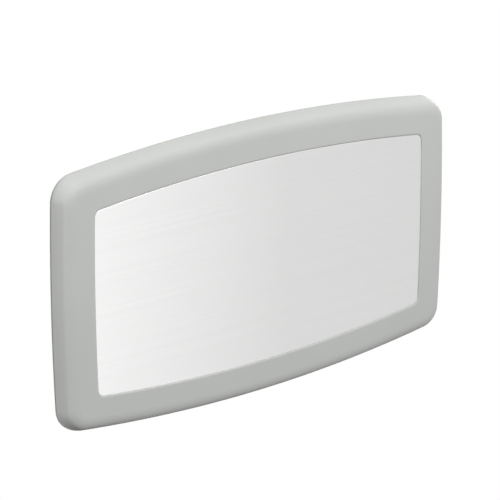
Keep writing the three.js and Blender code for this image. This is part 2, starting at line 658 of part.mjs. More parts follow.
function closingBumper(x) {
  const profile = [[0, 0], [5, 0], [5, 2.6], [3.6, 5.1], [0, 5.1]];
  return new THREE.LatheGeometry(profile.map(([r, y]) => new THREE.Vector2(r, y)), 16)
    .rotateX(Math.PI).translate(x, BOX_FRONT_Y - GAP, BUMPER_Z);
}

// Bag hook on the tray border
const HOOK_X = 362;
const HOOK_Z = 128;

function bagHook(x) {
  const y0 = TRAY_Y + GAP;
  const shape = new THREE.Shape();
  shape.moveTo(y0, 17);
  shape.lineTo(y0, -17);
  shape.lineTo(y0 + 3, -17);
  shape.lineTo(y0 + 3, 2);
  shape.lineTo(y0 + 9, 2);
  shape.absarc(y0 + 9, 9, 7, -Math.PI / 2, 0);
  shape.lineTo(y0 + 16, 15);
  shape.lineTo(y0 + 12, 15);
  shape.lineTo(y0 + 12, 9.5);
  shape.absarc(y0 + 9, 9.5, 3, 0, -Math.PI / 2, true);
  shape.lineTo(y0 + 3, 6.5);
  shape.lineTo(y0 + 3, 17);
  shape.closePath();
  return slab(shape, [x - 9, x + 9]).translate(0, 0, HOOK_Z);
}

// Bezel round a strap slot. Local +Y points out of the dish wall.
function slotBezel() {
  const shape = roundedRectangle(-29, 29, -9, 9, 4);
  shape.holes.push(roundedRectangle(-STRAP_WIDTH / 2 - 2, STRAP_WIDTH / 2 + 2, -3, 3, 1));
  return plate(shape, [0.6, 3.2]);
}

// Webbing drawn as its side view in (y, z), then given its width along x
function strap(points) {
  const curve = new THREE.CatmullRomCurve3(points.map(([y, z]) => new THREE.Vector3(y, z, 0)), false, "centripetal");
  const steps = points.length * 3;
  const side = (offset) => curve.getPoints(steps).map((p, i) => {
    const along = curve.getTangent(i / steps);
    return new THREE.Vector2(p.x - along.y * offset, p.y + along.x * offset);
  });
  const loop = [...side(STRAP_THICK / 2), ...side(-STRAP_THICK / 2).reverse()];
  return slab(loop, [-STRAP_WIDTH / 2, STRAP_WIDTH / 2]);
}

// The strap leaves its slot, turns over the bezel and lies down the dish to the buckle
function strapPath({ z, turn, way }, stations, ending) {
  const out = new THREE.Vector2(Math.cos(turn), Math.sin(turn));
  const down = new THREE.Vector2(-Math.abs(Math.sin(turn)), -way * Math.cos(turn));
  const at = (height, run) => {
    const p = new THREE.Vector2(SLOT_Y, z).addScaledVector(out, height).addScaledVector(down, run);
    return [p.x, p.y];
  };
  const rimEdge = way > 0 ? RIM_OUTLINE.top : RIM_OUTLINE.bottom;
  const lying = stations.map(([distance, y]) => [y + STRAP_THICK / 2 + STRAP_CLEAR, way * (rimEdge - distance)]);
  const ends = ending.map((endZ) => [STRAP_IN_BUCKLE_Y, endZ]);
  return [at(-6, 0), at(1, 0), at(4.2, 2.4), at(5, 7), at(3.4, 14), ...lying, ...ends];
}

const BUCKLE_TOP_Y = BUCKLE_BASE_Y + BUCKLE_HEIGHT;
const STRAP_IN_BUCKLE_Y = BUCKLE_BASE_Y + BUCKLE_BASE + GAP + STRAP_THICK / 2;
const LEVER_PIN = { y: BUCKLE_BASE_Y + BUCKLE_BASE + STRAP_THICK + 5.4, z: BUCKLE_Z + BUCKLE_LENGTH - 9 };
const LEVER_CAM_RADIUS = 4.4;

function buckleFrame() {
  const z = [BUCKLE_Z, BUCKLE_Z + BUCKLE_LENGTH];
  const base = box([-BUCKLE_HALF_WIDTH, BUCKLE_HALF_WIDTH], [BUCKLE_BASE_Y, BUCKLE_BASE_Y + BUCKLE_BASE], z);
  const cheek = new THREE.Shape();
  cheek.moveTo(BUCKLE_BASE_Y, z[0]);
  cheek.lineTo(BUCKLE_BASE_Y + 5, z[0]);
  cheek.lineTo(BUCKLE_TOP_Y - 2, z[0] + 14);
  cheek.lineTo(BUCKLE_TOP_Y, z[1] - 12);
  cheek.lineTo(BUCKLE_TOP_Y - 3, z[1]);
  cheek.lineTo(BUCKLE_BASE_Y, z[1]);
  cheek.closePath();
  const cheeks = [-BUCKLE_HALF_WIDTH, BUCKLE_HALF_WIDTH - BUCKLE_WALL].map((x) => slab(cheek.clone(), [x, x + BUCKLE_WALL]));
  const bar = rodX(2.2, [-BUCKLE_HALF_WIDTH + 1, BUCKLE_HALF_WIDTH - 1], BUCKLE_BASE_Y + 4, z[0] + 3, 12);
  const pinHole = rodX(1.8, [-BUCKLE_HALF_WIDTH - 2, BUCKLE_HALF_WIDTH + 2], LEVER_PIN.y, LEVER_PIN.z, 12);
  return cut(join(base, ...cheeks, bar), pinHole);
}

function buckleLever() {
  const half = BUCKLE_HALF_WIDTH - BUCKLE_WALL - GAP;
  const shape = new THREE.Shape();
  shape.moveTo(LEVER_PIN.y - 1, LEVER_PIN.z - 1);
  shape.lineTo(LEVER_PIN.y + 2.2, LEVER_PIN.z - 32);
  shape.absarc(LEVER_PIN.y + 3.6, LEVER_PIN.z - 32, 1.4, Math.PI, 2 * Math.PI);
  shape.lineTo(LEVER_PIN.y + LEVER_CAM_RADIUS - 0.4, LEVER_PIN.z - 1);
  shape.closePath();
  const cam = rodX(LEVER_CAM_RADIUS, [-half, half], LEVER_PIN.y, LEVER_PIN.z);
  const bore = rodX(1.8, [-half - 2, half + 2], LEVER_PIN.y, LEVER_PIN.z, 12);
  return cut(join(slab(shape, [-half, half]), cam), bore);
}

// Assembly of the wall unit
add(wallUnit, "wall_box", wallBox(), innerPlastic);
[["left", -1], ["right", 1]].forEach(([side, way]) => {
  add(wallUnit, `mount_plate_${side}`, mountPlate((way * STUD_SPACING) / 2), zincSteel);
  add(wallUnit, `open_stop_${side}`, openStop(way * STOP_X), blackRubber);
  add(wallUnit, `closing_bumper_${side}`, closingBumper(way * BUMPER_X), blackRubber);
  add(wallUnit, `hinge_rod_cap_${side}`, rodCap(way), blackPlastic);
});
add(wallUnit, "hinge_wall_leaf", wallLeaf(), zincSteel);
add(wallUnit, "hinge_rod", rodX(ROD_RADIUS, [hingeStart - 6, -hingeStart + 6], HINGE_Y, HINGE_Z), chromeRod);
add(wallUnit, "gas_spring_bracket", upperBracket(), zincSteel);
add(wallUnit, "gas_spring_upper_pin", headedPin(SPRING_X, SPRING_TOP_Y, SPRING_TOP_Z, 10), chromeRod);
LEAF_SCREW_X.forEach((x, i) => {
  const screw = add(wallUnit, `wall_leaf_screw_${i + 1}`, screwGeometry(), chromeRod);
  screw.rotation.x = -Math.PI / 2;
  screw.position.set(x, WALL_LEAF_SCREW_Y, -BOX_BOTTOM - LEAF_THICK - 2 * GAP);
});

// Liner store
const door = new THREE.Group();
door.position.set(0, doorPinY, DOOR_PIN_Z);
wallUnit.add(door);
add(door, "liner_door", linerDoor(), greyPlastic);
const lock = add(door, "liner_lock", linerLock(), chromeRod);
lock.position.set(0, STORE_FRONT_Y - doorPinY, LOCK_Z - DOOR_PIN_Z);

// Gas spring, in line between its two pins
const cylinder = new THREE.Group();
cylinder.position.set(SPRING_X, springTop.x, springTop.y);
cylinder.rotation.x = springTurn;
wallUnit.add(cylinder);
add(cylinder, "gas_cylinder", gasCylinder(), darkSteel);
add(cylinder, "gas_cylinder_eye", springEye(-14 + GAP), darkSteel);
const pistonRod = new THREE.Group();
pistonRod.position.set(SPRING_X, crankPin.x, crankPin.y);
pistonRod.rotation.x = springTurn;
bed.add(pistonRod);
add(pistonRod, "gas_piston_rod", springRod(), chromeRod);
add(pistonRod, "gas_rod_eye", springEye(EYE_RADIUS + 5), darkSteel);

// Assembly of the bed
add(bed, "bed_shell", bedShell(), greyPlastic);
add(bed, "front_panel", frontPanel(), brushedSteel);
add(bed, "bed_tray", bedTray(), innerPlastic);
add(bed, "hinge_bed_leaf", bedLeaf(), zincSteel);
bedKnuckles.forEach((i, n) => add(bed, `hinge_bush_${n + 1}`, bush(i), acetal));
add(bed, "hinge_crank", hingeCrank(), zincSteel);
add(bed, "crank_pin", headedPin(SPRING_X + 0.1, crankPin.x, crankPin.y, 9.5), chromeRod);
LEAF_SCREW_X.forEach((x, i) => {
  const screw = add(bed, `bed_leaf_screw_${i + 1}`, screwGeometry(), chromeRod);
  screw.position.set(x, TRAY_Y + LEAF_THICK + 2 * GAP, BED_LEAF_SCREW_Z);
});
TRAY_SCREWS.forEach(([x, z], i) => {
  const screw = add(bed, `tray_screw_${i + 1}`, screwGeometry(), chromeRod);
  screw.position.set(x, TRAY_Y + GAP, z);
});
[["left", -1], ["right", 1]].forEach(([side, way]) => {
  add(bed, `bag_hook_${side}`, bagHook(way * HOOK_X), greyPlastic);
});
strapSlots.forEach(({ name, z, turn }) => {
  const bezel = add(bed, `strap_bezel_${name}`, slotBezel(), blackPlastic);
  bezel.rotation.x = turn;
  bezel.position.set(0, SLOT_Y, z);
});
const [upperSlot, lowerSlot] = strapSlots;
const buckleMouth = BUCKLE_Z + BUCKLE_LENGTH + 5;
const upperPath = strapPath(upperSlot, TRAY_BACK.slice(-3, -1), [buckleMouth, buckleMouth - 20, BUCKLE_Z + 12]);
const lowerPath = strapPath(lowerSlot, TRAY_BACK.slice(-3), [BUCKLE_Z - 8, BUCKLE_Z - 0.6]);
add(bed, "strap_upper", strap(upperPath), webbing);
add(bed, "strap_lower", strap(lowerPath), webbing);
add(bed, "buckle_frame", buckleFrame(), blackPlastic);
add(bed, "buckle_lever", buckleLever(), blackPlastic);
const leverPinReach = BUCKLE_HALF_WIDTH - GAP;
add(bed, "buckle_pin", rodX(1.5, [-leverPinReach, leverPinReach], LEVER_PIN.y, LEVER_PIN.z, 12), chromeRod);

export default station;
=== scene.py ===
"""Looks of the wall-hung baby changing station, in metres: the wall is y = 0, the front faces -Y, +Z up."""
import json
import math

import bpy
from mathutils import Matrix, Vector


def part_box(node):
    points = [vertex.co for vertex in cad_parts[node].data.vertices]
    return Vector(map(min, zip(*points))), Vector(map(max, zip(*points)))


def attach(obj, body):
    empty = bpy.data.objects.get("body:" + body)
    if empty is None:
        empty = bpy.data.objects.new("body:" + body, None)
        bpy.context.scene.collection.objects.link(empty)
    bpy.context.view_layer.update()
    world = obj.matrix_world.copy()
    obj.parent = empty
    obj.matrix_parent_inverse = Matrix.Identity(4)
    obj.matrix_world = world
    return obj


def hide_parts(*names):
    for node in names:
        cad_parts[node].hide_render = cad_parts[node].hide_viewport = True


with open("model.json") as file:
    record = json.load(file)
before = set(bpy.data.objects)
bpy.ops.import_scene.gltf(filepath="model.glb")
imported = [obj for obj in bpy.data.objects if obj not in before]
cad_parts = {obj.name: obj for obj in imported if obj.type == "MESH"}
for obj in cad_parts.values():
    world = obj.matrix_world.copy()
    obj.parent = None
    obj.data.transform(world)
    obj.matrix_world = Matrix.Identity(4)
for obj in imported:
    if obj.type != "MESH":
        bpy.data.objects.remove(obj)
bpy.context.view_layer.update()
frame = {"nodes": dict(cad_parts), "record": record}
MM = 0.001

# Sizes shared with the solids, in millimetres
HALF_WIDTH, HALF_HEIGHT = 447.5, 254.0
FRONT_Y, BED_BACK_Y = -102.0, -65.0
TRAY_Y, TRAY_THICK, TRAY_EDGE_INSET, TRAY_CHAMFER = -66.0, 3.0, 6.3, 0.6
DISH_SAG, CORNER_SHRINK = 1.5, 0.3
PANEL_Y, PANEL_THICK = -100.7, 1.0
PANEL_SIDE_INSET, PANEL_EDGE_INSET = 68.0, 66.5
PANEL_HALF_WIDTH, PANEL_HALF_HEIGHT = HALF_WIDTH - PANEL_SIDE_INSET, HALF_HEIGHT - PANEL_EDGE_INSET
GAP = 0.3

# Bowed rectangles: outline of the bed, of the steel panel and of the rim round the dish
BED = dict(half_width=HALF_WIDTH, top=HALF_HEIGHT, bottom=HALF_HEIGHT,
           crown_top=31.0, crown_bottom=31.0, side_bow=7.0, corner=47.0)
PANEL = dict(half_width=PANEL_HALF_WIDTH, top=PANEL_HALF_HEIGHT, bottom=PANEL_HALF_HEIGHT,
             crown_top=23.0, crown_bottom=23.0, side_bow=3.7, corner=13.0)
RIM = dict(half_width=342.0, top=168.0, bottom=176.0,
           crown_top=16.0, crown_bottom=10.0, side_bow=4.0, corner=64.0)

# Edge of the front moulding as (inset from the bed's outline, y): two curves, the back seam and the inside
EDGE_START = (29.0, FRONT_Y)
EDGE_SHOULDER = (6.0, -92.0)
EDGE_END = (0.0, -69.8)
FRONT_TURN = (EDGE_START, (10.5, FRONT_Y), EDGE_SHOULDER)
SIDE_TURN = (EDGE_SHOULDER, (0.0, -78.7), EDGE_END)
BACK_SEAM = ((3.0, -69.6), (3.0, -68.4), (0.2, -68.1), (0.0, -67.6), (0.0, -66.4), (0.8, -65.3),
             (2.0, BED_BACK_Y))
SHELL_INSIDE = ((6.0, BED_BACK_Y), (6.0, -69.3), (10.3, -69.3), (10.3, -87.4), (23.5, -93.9), (31.5, -95.4))

# Lip round the panel: depth of its foot, width up to the flat front, and its rounding across and deep
LIP_DEPTH, LIP_FLAT = 2.6, 5.0
LIP_ROUND_ACROSS, LIP_ROUND_DEEP = 3.2, 1.5

# Rolled edge of the panel as (inset from its outline, depth behind its face)
PANEL_EDGE = ((2.5, 0.0), (0.35, 0.0), (0.1, 0.1), (0.0, 0.35), (0.0, PANEL_THICK))

# Rim and dish as (inset from the rim's outline, y), on the visible side and on the hidden one
TRAY_BACK = [(-6, -66), (0, -63), (4, -52), (8, -46.5), (14, -44), (20, -45.5), (28, -51), (44, -63),
             (70, -75), (100, -82.5), (130, -86.5)]
TRAY_FRONT = [(-6, -69), (2.5, -65.5), (7, -54), (10.5, -49.6), (14.4, -47.2), (18.4, -48.6), (25.5, -53.6),
              (41.5, -66), (68, -78), (99, -85.6), (130, -89.6)]


def quarter(half_width, height, crown, bow, corner, steps):
    """Points from the middle of the right side to the middle of the top of a bowed rectangle."""
    top_r = (half_width ** 2 + crown ** 2) / (2 * crown)
    side_r = (height ** 2 + bow ** 2) / (2 * bow)
    top_c = Vector((0, height - top_r))
    side_c = Vector((half_width - side_r, 0))
    span = (side_c - top_c).length
    unit = (side_c - top_c) / span
    along = ((top_r - corner) ** 2 - (side_r - corner) ** 2 + span ** 2) / (2 * span)
    aside = math.sqrt((top_r - corner) ** 2 - along ** 2)
    centre = top_c + unit * along + Vector((unit.y, -unit.x)) * aside
    side_end = math.atan2(centre.y - side_c.y, centre.x - side_c.x)
    top_end = math.atan2(centre.y - top_c.y, centre.x - top_c.x)
    arcs = [(side_c, side_r, 0.0, side_end, steps[0]), (centre, corner, side_end, top_end, steps[1]),
            (top_c, top_r, top_end, math.pi / 2, steps[2])]
    points = []
    for c, r, a, b, n in arcs:
        for i in range(n):
            t = a + (b - a) * i / n
            points.append((c.x + r * math.cos(t), c.y + r * math.sin(t)))
    return points + [(0.0, height)]


def outline(spec, steps=(8, 16, 32)):
    """A whole bowed rectangle, anticlockwise seen from the front."""
    half_width, bow, corner = spec["half_width"], spec["side_bow"], spec["corner"]
    upper = quarter(half_width, spec["top"], spec["crown_top"], bow, corner, steps)
    lower = quarter(half_width, spec["bottom"], spec["crown_bottom"], bow, corner, steps)
    left = [(-x, z) for x, z in upper[1:-1]][::-1]
    low_left = [(-x, -z) for x, z in lower]
    low_right = [(x, -z) for x, z in lower[1:-1]][::-1]
    return upper + left + low_left + low_right


def inset(spec, d):
    """The same bowed rectangle, smaller by d all round."""
    return dict(spec, half_width=spec["half_width"] - d, top=spec["top"] - d, bottom=spec["bottom"] - d,
                corner=max(spec["corner"] - d, 2.0))


def ring(spec, y):
    """The outline as points of the scene, at depth y."""
    return [(x * MM, y * MM, z * MM) for x, z in outline(spec)]


def make_mesh(name, vertices, faces, smooth_angle=40):
    """A smooth-shaded object that keeps edges sharper than the angle."""
    mesh = bpy.data.meshes.new(name)
    mesh.from_pydata(vertices, [], faces)
    mesh.polygons.foreach_set("use_smooth", [True] * len(mesh.polygons))
    mesh.set_sharp_from_angle(angle=math.radians(smooth_angle))
    mesh.update()
    obj = bpy.data.objects.new(name, mesh)
    bpy.context.scene.collection.objects.link(obj)
    return obj


def loft(name, rings, start_bulge=0.0, end_bulge=0.0, smooth_angle=40):
    """Skin through rings, the first capped facing -Y and the last facing +Y."""
    n = len(rings[0])
    vertices = [p for r in rings for p in r]
    start, end = len(vertices), len(vertices) + 1
    vertices.append((0, rings[0][0][1] + start_bulge * MM, 0))
    vertices.append((0, rings[-1][0][1] + end_bulge * MM, 0))
    faces = []
    last = (len(rings) - 1) * n
    for i in range(n):
        j = (i + 1) % n
        faces.append((start, i, j))
        faces.append((end, last + j, last + i))
        for r in range(len(rings) - 1):
            a, b = r * n, (r + 1) * n
            faces.append((a + i, b + i, b + j, a + j))
    return make_mesh(name, vertices, faces, smooth_angle)


def smooth_path(points, per_span):
    """A Catmull-Rom curve through points of any dimension."""
    pts = [Vector(p) for p in points]
    pts = [pts[0] * 2 - pts[1]] + pts + [pts[-1] * 2 - pts[-2]]
    out = []
    for k in range(1, len(pts) - 2):
        p0, p1, p2, p3 = pts[k - 1:k + 3]
        for i in range(per_span):
            t = i / per_span
            out.append(0.5 * (2 * p1 + (p2 - p0) * t + (2 * p0 - 5 * p1 + 4 * p2 - p3) * t ** 2
                              + (3 * p1 - p0 - 3 * p2 + p3) * t ** 3))
    return out + [pts[-2]]


def bend(start, corner, end, steps):
    """Points after the start of a curve that leaves it towards the corner and comes from there to the end."""
    start, corner, end = Vector(start), Vector(corner), Vector(end)
    out = []
    for i in range(steps):
        t = (i + 1) / steps
        out.append(start * (1 - t) ** 2 + corner * 2 * t * (1 - t) + end * t ** 2)
    return out


def set_stops(ramp, stops):
    """Colour ramp of (place, colour), in rising order."""
    elements = ramp.color_ramp.elements
    while len(elements) < len(stops):
        elements.new(0.5)
    for element, (place, colour) in zip(elements, stops):
        element.position = place
        element.color = (*colour, 1.0)


def grey(level):
    return (level, level, level)


class Look:
    """A material with a Principled shader and short ways to add nodes."""

    def __init__(self, name):
        self.mat = bpy.data.materials.new(name)
        self.mat.use_nodes = True
        self.tree = self.mat.node_tree
        self.bsdf = self.tree.nodes["Principled BSDF"]
        self.coords = self.tree.nodes.new("ShaderNodeTexCoord").outputs["Object"]

    def fill(self, socket, value):
        """Link another node's output, or set a plain value."""
        if isinstance(value, bpy.types.NodeSocket):
            self.tree.links.new(value, socket)
        else:
            socket.default_value = value

    def node(self, kind, **inputs):
        n = self.tree.nodes.new(kind)
        for key, value in inputs.items():
            self.fill(n.inputs[key.replace("_", " ")], value)
        return n

    def set(self, **inputs):
        for key, value in inputs.items():
            self.fill(self.bsdf.inputs[key.replace("_", " ")], value)

    def noise(self, scale, detail=2.0, stretch=(1, 1, 1)):
        mapping = self.node("ShaderNodeMapping", Vector=self.coords, Scale=stretch)
        n = self.node("ShaderNodeTexNoise", Vector=mapping.outputs[0], Scale=scale, Detail=detail)
        return n.outputs["Fac"]

    def ramp(self, fac, low, high, start=0.3, end=0.7):
        n = self.node("ShaderNodeValToRGB", Fac=fac)
        colours = [value if isinstance(value, tuple) else grey(value) for value in (low, high)]
        set_stops(n, list(zip((start, end), colours)))
        return n.outputs["Color"]

    def mix(self, fac, a, b, mode="MIX"):
        n = self.tree.nodes.new("ShaderNodeMix")
        n.data_type = "RGBA"
        n.blend_type = mode
        for place, value in ((0, fac), (6, a), (7, b)):
            self.fill(n.inputs[place], value)
        return n.outputs[2]

    def bump(self, height, strength, distance):
        n = self.node("ShaderNodeBump", Height=height, Strength=strength, Distance=distance)
        self.set(Normal=n.outputs["Normal"])


def scaled(colour, share):
    """The colour made darker or lighter, at most full white."""
    return tuple(min(c * share, 1.0) for c in colour)


def moulded_plastic(name, colour, roughness=0.42):
    """Moulded plastic: faint flow mottling, a fine spark grain and a slightly uneven sheen."""
    look = Look(name)
    mottle = look.ramp(look.noise(5.0, 4.0), scaled(colour, 0.975), scaled(colour, 1.02))
    look.set(Base_Color=mottle, Specular_IOR_Level=0.12)
    look.set(Roughness=look.ramp(look.noise(14.0, 3.0), roughness - 0.04, roughness + 0.05))
    look.bump(look.noise(1400.0, 1.0), 0.06, 0.0002)
    return look.mat


def brushed_steel(name, painted_sheen, half_width):
    """Sheet steel brushed along X, with a painted sheen: its colour, given as (place, brightness), is lighter
    at the left and falls off to the right.
    """
    look = Look(name)
    streaks = look.noise(1.0, 6.0, (2.2, 1, 620))
    broad = look.noise(1.0, 2.0, (0.5, 1, 45))
    x = look.node("ShaderNodeSeparateXYZ", Vector=look.coords).outputs["X"]
    across = look.node("ShaderNodeMapRange", Value=x, From_Min=-half_width, From_Max=half_width).outputs[0]
    # Painted sheen: the panel's colour goes from lighter at the left to darker at the right, a falloff of
    # light painted into the steel.
    painted_sheen_ramp = look.node("ShaderNodeValToRGB", Fac=across)
    set_stops(painted_sheen_ramp, [(place, (value, value, value * STEEL_BLUE)) for place, value in painted_sheen])
    base = look.mix(1.0, painted_sheen_ramp.outputs["Color"], look.ramp(streaks, 0.975, 1.02), "MULTIPLY")
    base = look.mix(1.0, base, look.ramp(broad, 0.993, 1.007), "MULTIPLY")
    look.set(Base_Color=base, Metallic=1.0, Anisotropic=0.65, Anisotropic_Rotation=0.0)
    look.set(Roughness=look.ramp(streaks, 0.27, 0.35))
    look.bump(streaks, 0.03, 0.00008)
    return look.mat


def plated_steel(name, colour, roughness):
    """Plated sheet: cloudy spangle in colour and sheen."""
    look = Look(name)
    cloud = look.noise(60.0, 4.0)
    look.set(Base_Color=look.ramp(cloud, scaled(colour, 0.86), scaled(colour, 1.1)), Metallic=1.0)
    look.set(Roughness=look.ramp(look.noise(220.0, 3.0), roughness - 0.06, roughness + 0.1))
    look.bump(look.noise(900.0, 2.0), 0.04, 0.0001)
    return look.mat


def satin_paint(name, colour):
    """Satin paint with a faint orange peel."""
    look = Look(name)
    look.set(Base_Color=look.ramp(look.noise(30.0, 3.0), scaled(colour, 0.85), scaled(colour, 1.2)))
    look.set(Roughness=look.ramp(look.noise(90.0, 2.0), 0.32, 0.42), Coat_Weight=0.15)
    look.bump(look.noise(700.0, 1.0), 0.08, 0.0002)
    return look.mat


def rubber(name, colour):
    """Matte rubber with a dusty bloom."""
    look = Look(name)
    bloom = look.ramp(look.noise(120.0, 4.0), colour, scaled(colour, 2.2))
    look.set(Base_Color=bloom, Roughness=0.82)
    look.bump(look.noise(1600.0, 2.0), 0.15, 0.0002)
    return look.mat


def webbing(name, colour):
    """Woven nylon: ribs across the strap crossed by fine yarns, with fuzz in the colour."""
    look = Look(name)
    ribs = look.node("ShaderNodeTexWave", Vector=look.coords, Scale=260.0)
    ribs.bands_direction = "Z"
    yarns = look.node("ShaderNodeTexWave", Vector=look.coords, Scale=330.0)
    yarns.bands_direction = "X"
    weave = look.mix(0.5, ribs.outputs["Color"], yarns.outputs["Color"], "MULTIPLY")
    shade = look.mix(0.6, look.ramp(weave, scaled(colour, 0.7), scaled(colour, 1.6), 0.1, 0.9),
                     look.ramp(look.noise(600.0, 3.0), scaled(colour, 0.8), scaled(colour, 1.4)))
    look.set(Base_Color=shade, Roughness=0.85, Sheen_Weight=0.25)
    look.bump(weave, 0.5, 0.0004)
    return look.mat


SHELL_COLOUR = (0.505, 0.515, 0.498)
INNER_COLOUR = (0.525, 0.535, 0.518)
STEEL_BLUE = 0.996
# Painted sheen of the steel panel as (place across it, brightness of its colour): lighter at the left, darker
# to the right.
STEEL_PAINTED_SHEEN = ((0.0, 0.926), (0.25, 0.832), (0.56, 0.727), (0.8, 0.716), (1.0, 0.7))
MATERIALS = {
    "shell_plastic": moulded_plastic("shell_plastic", SHELL_COLOUR),
    "inner_plastic": moulded_plastic("inner_plastic", INNER_COLOUR, 0.5),
    "brushed_steel": brushed_steel("brushed_steel", STEEL_PAINTED_SHEEN, PANEL_HALF_WIDTH * MM),
    "zinc_steel": plated_steel("zinc_steel", (0.46, 0.47, 0.475), 0.36),
    "dark_steel": satin_paint("dark_steel", (0.03, 0.031, 0.034)),
    "bright_steel": plated_steel("bright_steel", (0.68, 0.69, 0.70), 0.2),
    "rubber": rubber("rubber", (0.016, 0.016, 0.017)),
    "acetal": moulded_plastic("acetal", (0.80, 0.79, 0.74), 0.36),
    "webbing": webbing("webbing", (0.045, 0.05, 0.058)),
    "black_plastic": moulded_plastic("black_plastic", (0.022, 0.023, 0.025), 0.4),
}
SLOT_OF = {part["node"]: part["material_slot"] for part in frame["record"]["subparts"]}
for node_name, node in frame["nodes"].items():
    for material_slot in node.material_slots:
        material_slot.material = MATERIALS[SLOT_OF[node_name]]


def dress(obj, slot, body, *nodes):
    """Finish, body and CAD nodes of a new piece."""
    obj.data.materials.append(MATERIALS[slot])
    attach(obj, body)
    if nodes:
        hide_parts(*nodes)


def bed_shell():
    """Front moulding: lip round the panel, rounded edge, drafted side, back seam and hollow inside."""
    lip = inset(PANEL, -GAP)
    rings = [ring(lip, FRONT_Y + LIP_DEPTH)]
    steps = 6
    for i in range(steps + 1):
        a = math.pi / 2 * i / steps
        across, deep = LIP_ROUND_ACROSS * (1 - math.cos(a)), LIP_ROUND_DEEP * (1 - math.sin(a))
        rings.append(ring(inset(lip, -across), FRONT_Y + deep))
    rings.append(ring(inset(lip, -LIP_FLAT), FRONT_Y))
    edge = [EDGE_START, *bend(*FRONT_TURN, 24), *bend(*SIDE_TURN, 12), *BACK_SEAM, *SHELL_INSIDE]
    rings += [ring(inset(BED, d), y) for d, y in edge]
    dress(loft("bed_front_moulding", rings, smooth_angle=50), "shell_plastic", "bed", "bed_shell")


def front_panel():
    """Steel sheet with a small rolled edge."""
    rings = [ring(inset(PANEL, d), PANEL_Y + depth) for d, depth in PANEL_EDGE]
    dress(loft("steel_panel", rings), "brushed_steel", "bed", "front_panel")


def tray_ring(d, y):
    """The rim's outline, inset by d, with bows and corners that shrink along with it."""
    spec = inset(RIM, d)
    share = spec["top"] / RIM["top"]
    for key in ("crown_top", "crown_bottom", "side_bow"):
        spec[key] *= share
    spec["corner"] = min(RIM["corner"] - CORNER_SHRINK * d, spec["top"] / 2)
    return ring(spec, y)


def bed_tray():
    """Inner moulding: flat border, rolled rim and a smooth dish."""
    edge = inset(BED, TRAY_EDGE_INSET)
    front = [tray_ring(p.x, p.y) for p in smooth_path(TRAY_FRONT, 4)][::-1]
    back = [tray_ring(p.x, p.y) for p in smooth_path(TRAY_BACK, 5)]
    border = [ring(edge, TRAY_Y - TRAY_THICK), ring(edge, TRAY_Y - TRAY_CHAMFER),
              ring(inset(edge, TRAY_CHAMFER), TRAY_Y)]
    obj = loft("bed_dish_moulding", front + border + back, -DISH_SAG, -DISH_SAG)
    dress(obj, "inner_plastic", "bed", "bed_tray")


# Strap section as (across, height over its middle), upper half from the left edge
STRAP_HALF_WIDTH, STRAP_THICK, STRAP_CLEAR = 19.0, 1.8, 1.5
STRAP_HALF = STRAP_THICK / 2
STRAP_UPPER = [(-STRAP_HALF_WIDTH, 0), (0.4 - STRAP_HALF_WIDTH, 0.6), (1.2 - STRAP_HALF_WIDTH, STRAP_HALF),
               (-9, 0.95), (0, STRAP_HALF), (9, 0.95), (STRAP_HALF_WIDTH - 1.2, STRAP_HALF),
               (STRAP_HALF_WIDTH - 0.4, 0.6)]

# Place of the strap slots in the dish wall, and the way over a bezel as (out of the wall, down the wall)
SLOT_Y, SLOT_INSET = -57.0, 36.0
DISH_WALL_SLOPE = math.atan2(12, 16)
OVER_BEZEL = ((-6, 0), (1, 0), (4.2, 2.4), (5, 7), (3.4, 14))
STRAP_IN_BUCKLE_Y = -81.8
BUCKLE_Z, BUCKLE_LENGTH = -18.0, 46.0
BUCKLE_MOUTH_Z = BUCKLE_Z + BUCKLE_LENGTH + 5
UPPER_STRAP_ENDS = (BUCKLE_MOUTH_Z, BUCKLE_MOUTH_Z - 20, BUCKLE_Z + 12)
LOWER_STRAP_ENDS = (BUCKLE_Z - 8, BUCKLE_Z - 0.6)


def strap_line(way, stations, end_zs):
    """Middle line (y, z) out of the slot, over the bezel, down the dish and into the buckle."""
    edge = RIM["top"] if way > 0 else RIM["bottom"]
    slope_cos, slope_sin = math.cos(DISH_WALL_SLOPE), math.sin(DISH_WALL_SLOPE)
    out = Vector((slope_cos, -way * slope_sin))
    down = Vector((-slope_sin, -way * slope_cos))
    start = Vector((SLOT_Y, way * (edge - SLOT_INSET)))
    path = [start + out * h + down * r for h, r in OVER_BEZEL]
    path += [Vector((y + STRAP_HALF + STRAP_CLEAR, way * (edge - d))) for d, y in stations]
    path += [Vector((STRAP_IN_BUCKLE_Y, z)) for z in end_zs]
    return smooth_path(path, 8)


def strap(name, node, line):
    """Webbing along a line."""
    section = STRAP_UPPER + [(-x, -t) for x, t in STRAP_UPPER]
    vertices, faces = [], []
    for i, p in enumerate(line):
        along = (line[min(i + 1, len(line) - 1)] - line[max(i - 1, 0)]).normalized()
        normal = Vector((-along.y, along.x))
        for x, t in section:
            q = p + normal * t
            vertices.append((x * MM, q.x * MM, q.y * MM))
    n = len(section)
    for i in range(len(line) - 1):
        for j in range(n):
            k = (j + 1) % n
            faces.append((i * n + j, i * n + k, (i + 1) * n + k, (i + 1) * n + j))
    faces.append(tuple(range(n))[::-1])
    faces.append(tuple((len(line) - 1) * n + j for j in range(n)))
    dress(make_mesh(name, vertices, faces), "webbing", "bed", node)


def straps():
    """Both halves of the safety strap, lying on the last points of the dish."""
    strap("webbing_upper", "strap_upper", strap_line(1, TRAY_BACK[-3:-1], UPPER_STRAP_ENDS))
    strap("webbing_lower", "strap_lower", strap_line(-1, TRAY_BACK[-3:], LOWER_STRAP_ENDS))


# Screw head as (share of its radius, height in millimetres), from the socket's floor to the rim
SCREW_PROFILE = [(0.0, 0.7), (0.42, 0.7), (0.46, 1.75), (0.6, 1.8), (0.85, 1.35), (1.0, 0.6), (1.0, 0.0)]
SCREW_RADIUS, SCREW_SIDES = 3.6, 24
SOCKET_SHARE = 0.5


def hexagon(angle):
    """Distance from the middle to the edge of a hexagon with corners at 1."""
    return math.cos(math.pi / 6) / math.cos(angle % (math.pi / 3) - math.pi / 6)


